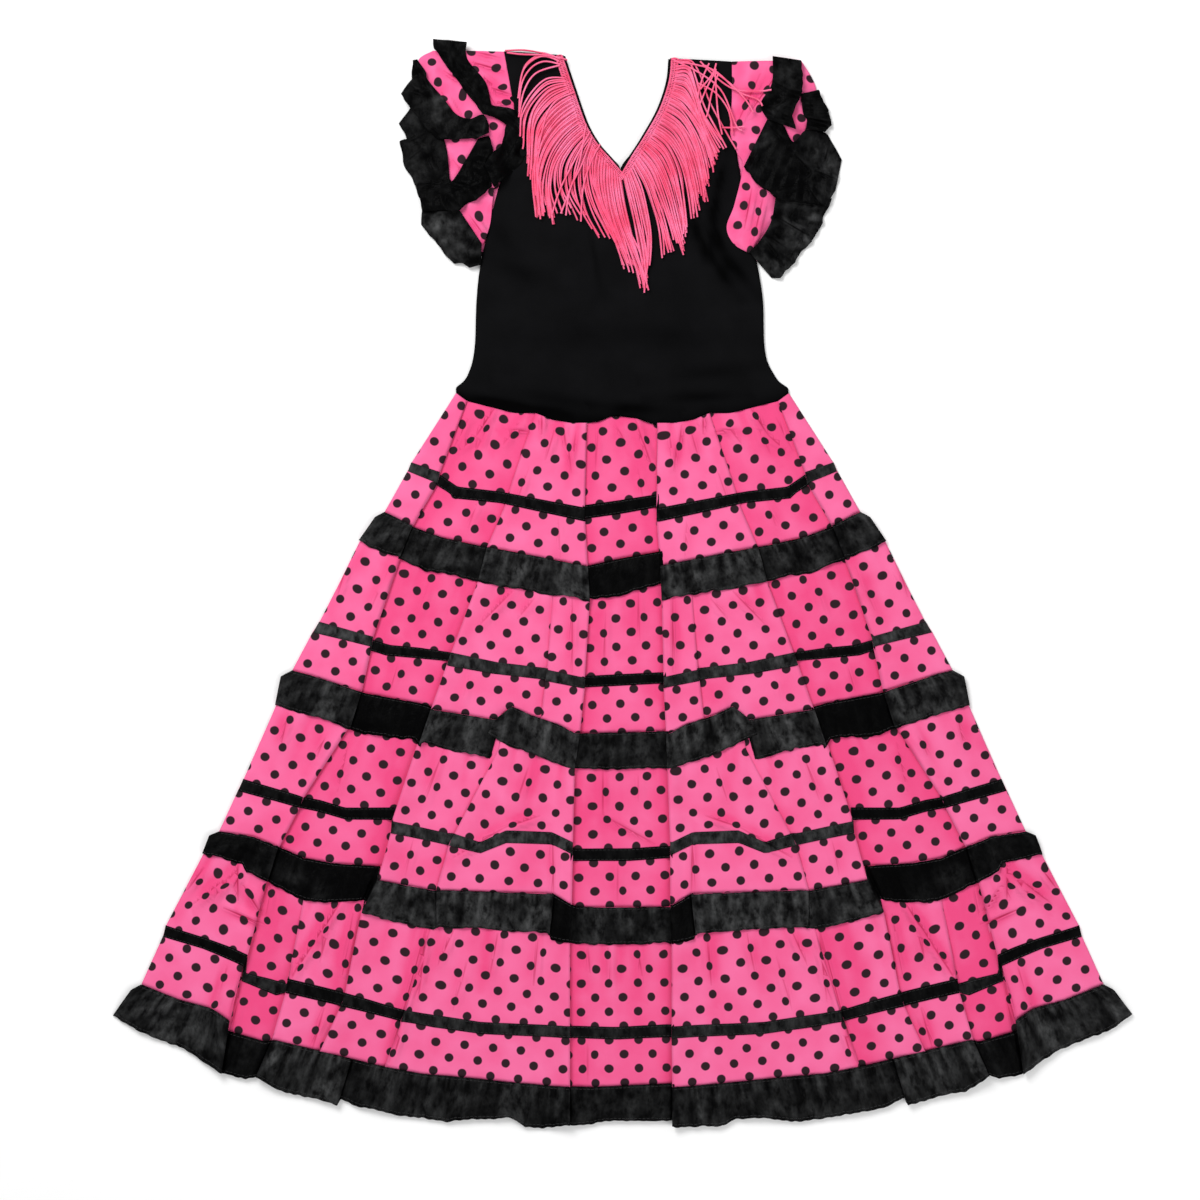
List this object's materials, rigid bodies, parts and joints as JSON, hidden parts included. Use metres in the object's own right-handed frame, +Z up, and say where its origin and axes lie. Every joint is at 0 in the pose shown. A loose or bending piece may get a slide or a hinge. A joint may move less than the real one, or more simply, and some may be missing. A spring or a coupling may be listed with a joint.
{
  "type": "flamenco dress",
  "caption": "Girl's flamenco dress laid flat: black jersey bodice with fringed V neck, puffed frilled sleeves and a tiered dotted skirt with satin ribbons and ruffles.",
  "frame": {"origin": "centre of the bounding box at floor level, under the middle of the laid skirt", "axes": "+X to the wearer's left as seen from above, +Y from hem to neck, +Z up from the surface on which the dress lies"},
  "size_m": [0.9184, 0.9771, 0.017],
  "materials": {
    "jersey": "matt black knit",
    "dotted_cotton": "pink woven cotton with black dots",
    "satin": "black satin with a soft sheen",
    "fringe": "pink knitted cord fringe"
  },
  "bodies": {
    "root": {"bodice_front": "jersey", "bodice_back": "jersey", "skirt_front_tier_1": "dotted_cotton", "skirt_front_tier_2": "dotted_cotton", "skirt_front_tier_3": "dotted_cotton", "skirt_front_tier_4": "dotted_cotton", "skirt_back_tier_1": "dotted_cotton", "skirt_back_tier_2": "dotted_cotton", "skirt_back_tier_3": "dotted_cotton", "skirt_back_tier_4": "dotted_cotton", "ribbon_front_1": "satin", "ribbon_front_2": "satin", "ribbon_front_3": "satin", "ribbon_front_4": "satin", "ribbon_back_1": "satin", "ribbon_back_2": "satin", "ribbon_back_3": "satin", "ribbon_back_4": "satin", "ruffle_front_1": "satin", "ruffle_front_2": "satin", "ruffle_front_3": "satin", "hem_ruffle_front_4": "satin", "ruffle_back_1": "satin", "ruffle_back_2": "satin", "ruffle_back_3": "satin", "hem_ruffle_back_4": "satin", "neck_fringe_left": "fringe", "neck_fringe_right": "fringe", "sleeve_left_under": "dotted_cotton", "sleeve_left_top": "dotted_cotton", "sleeve_left_cuff_ruffle": "satin", "sleeve_left_ruffle_1": "satin", "sleeve_left_ruffle_2": "satin", "sleeve_left_ruffle_3": "satin", "sleeve_right_under": "dotted_cotton", "sleeve_right_top": "dotted_cotton", "sleeve_right_cuff_ruffle": "satin", "sleeve_right_ruffle_1": "satin", "sleeve_right_ruffle_2": "satin", "sleeve_right_ruffle_3": "satin"}
  },
  "joints": []
}
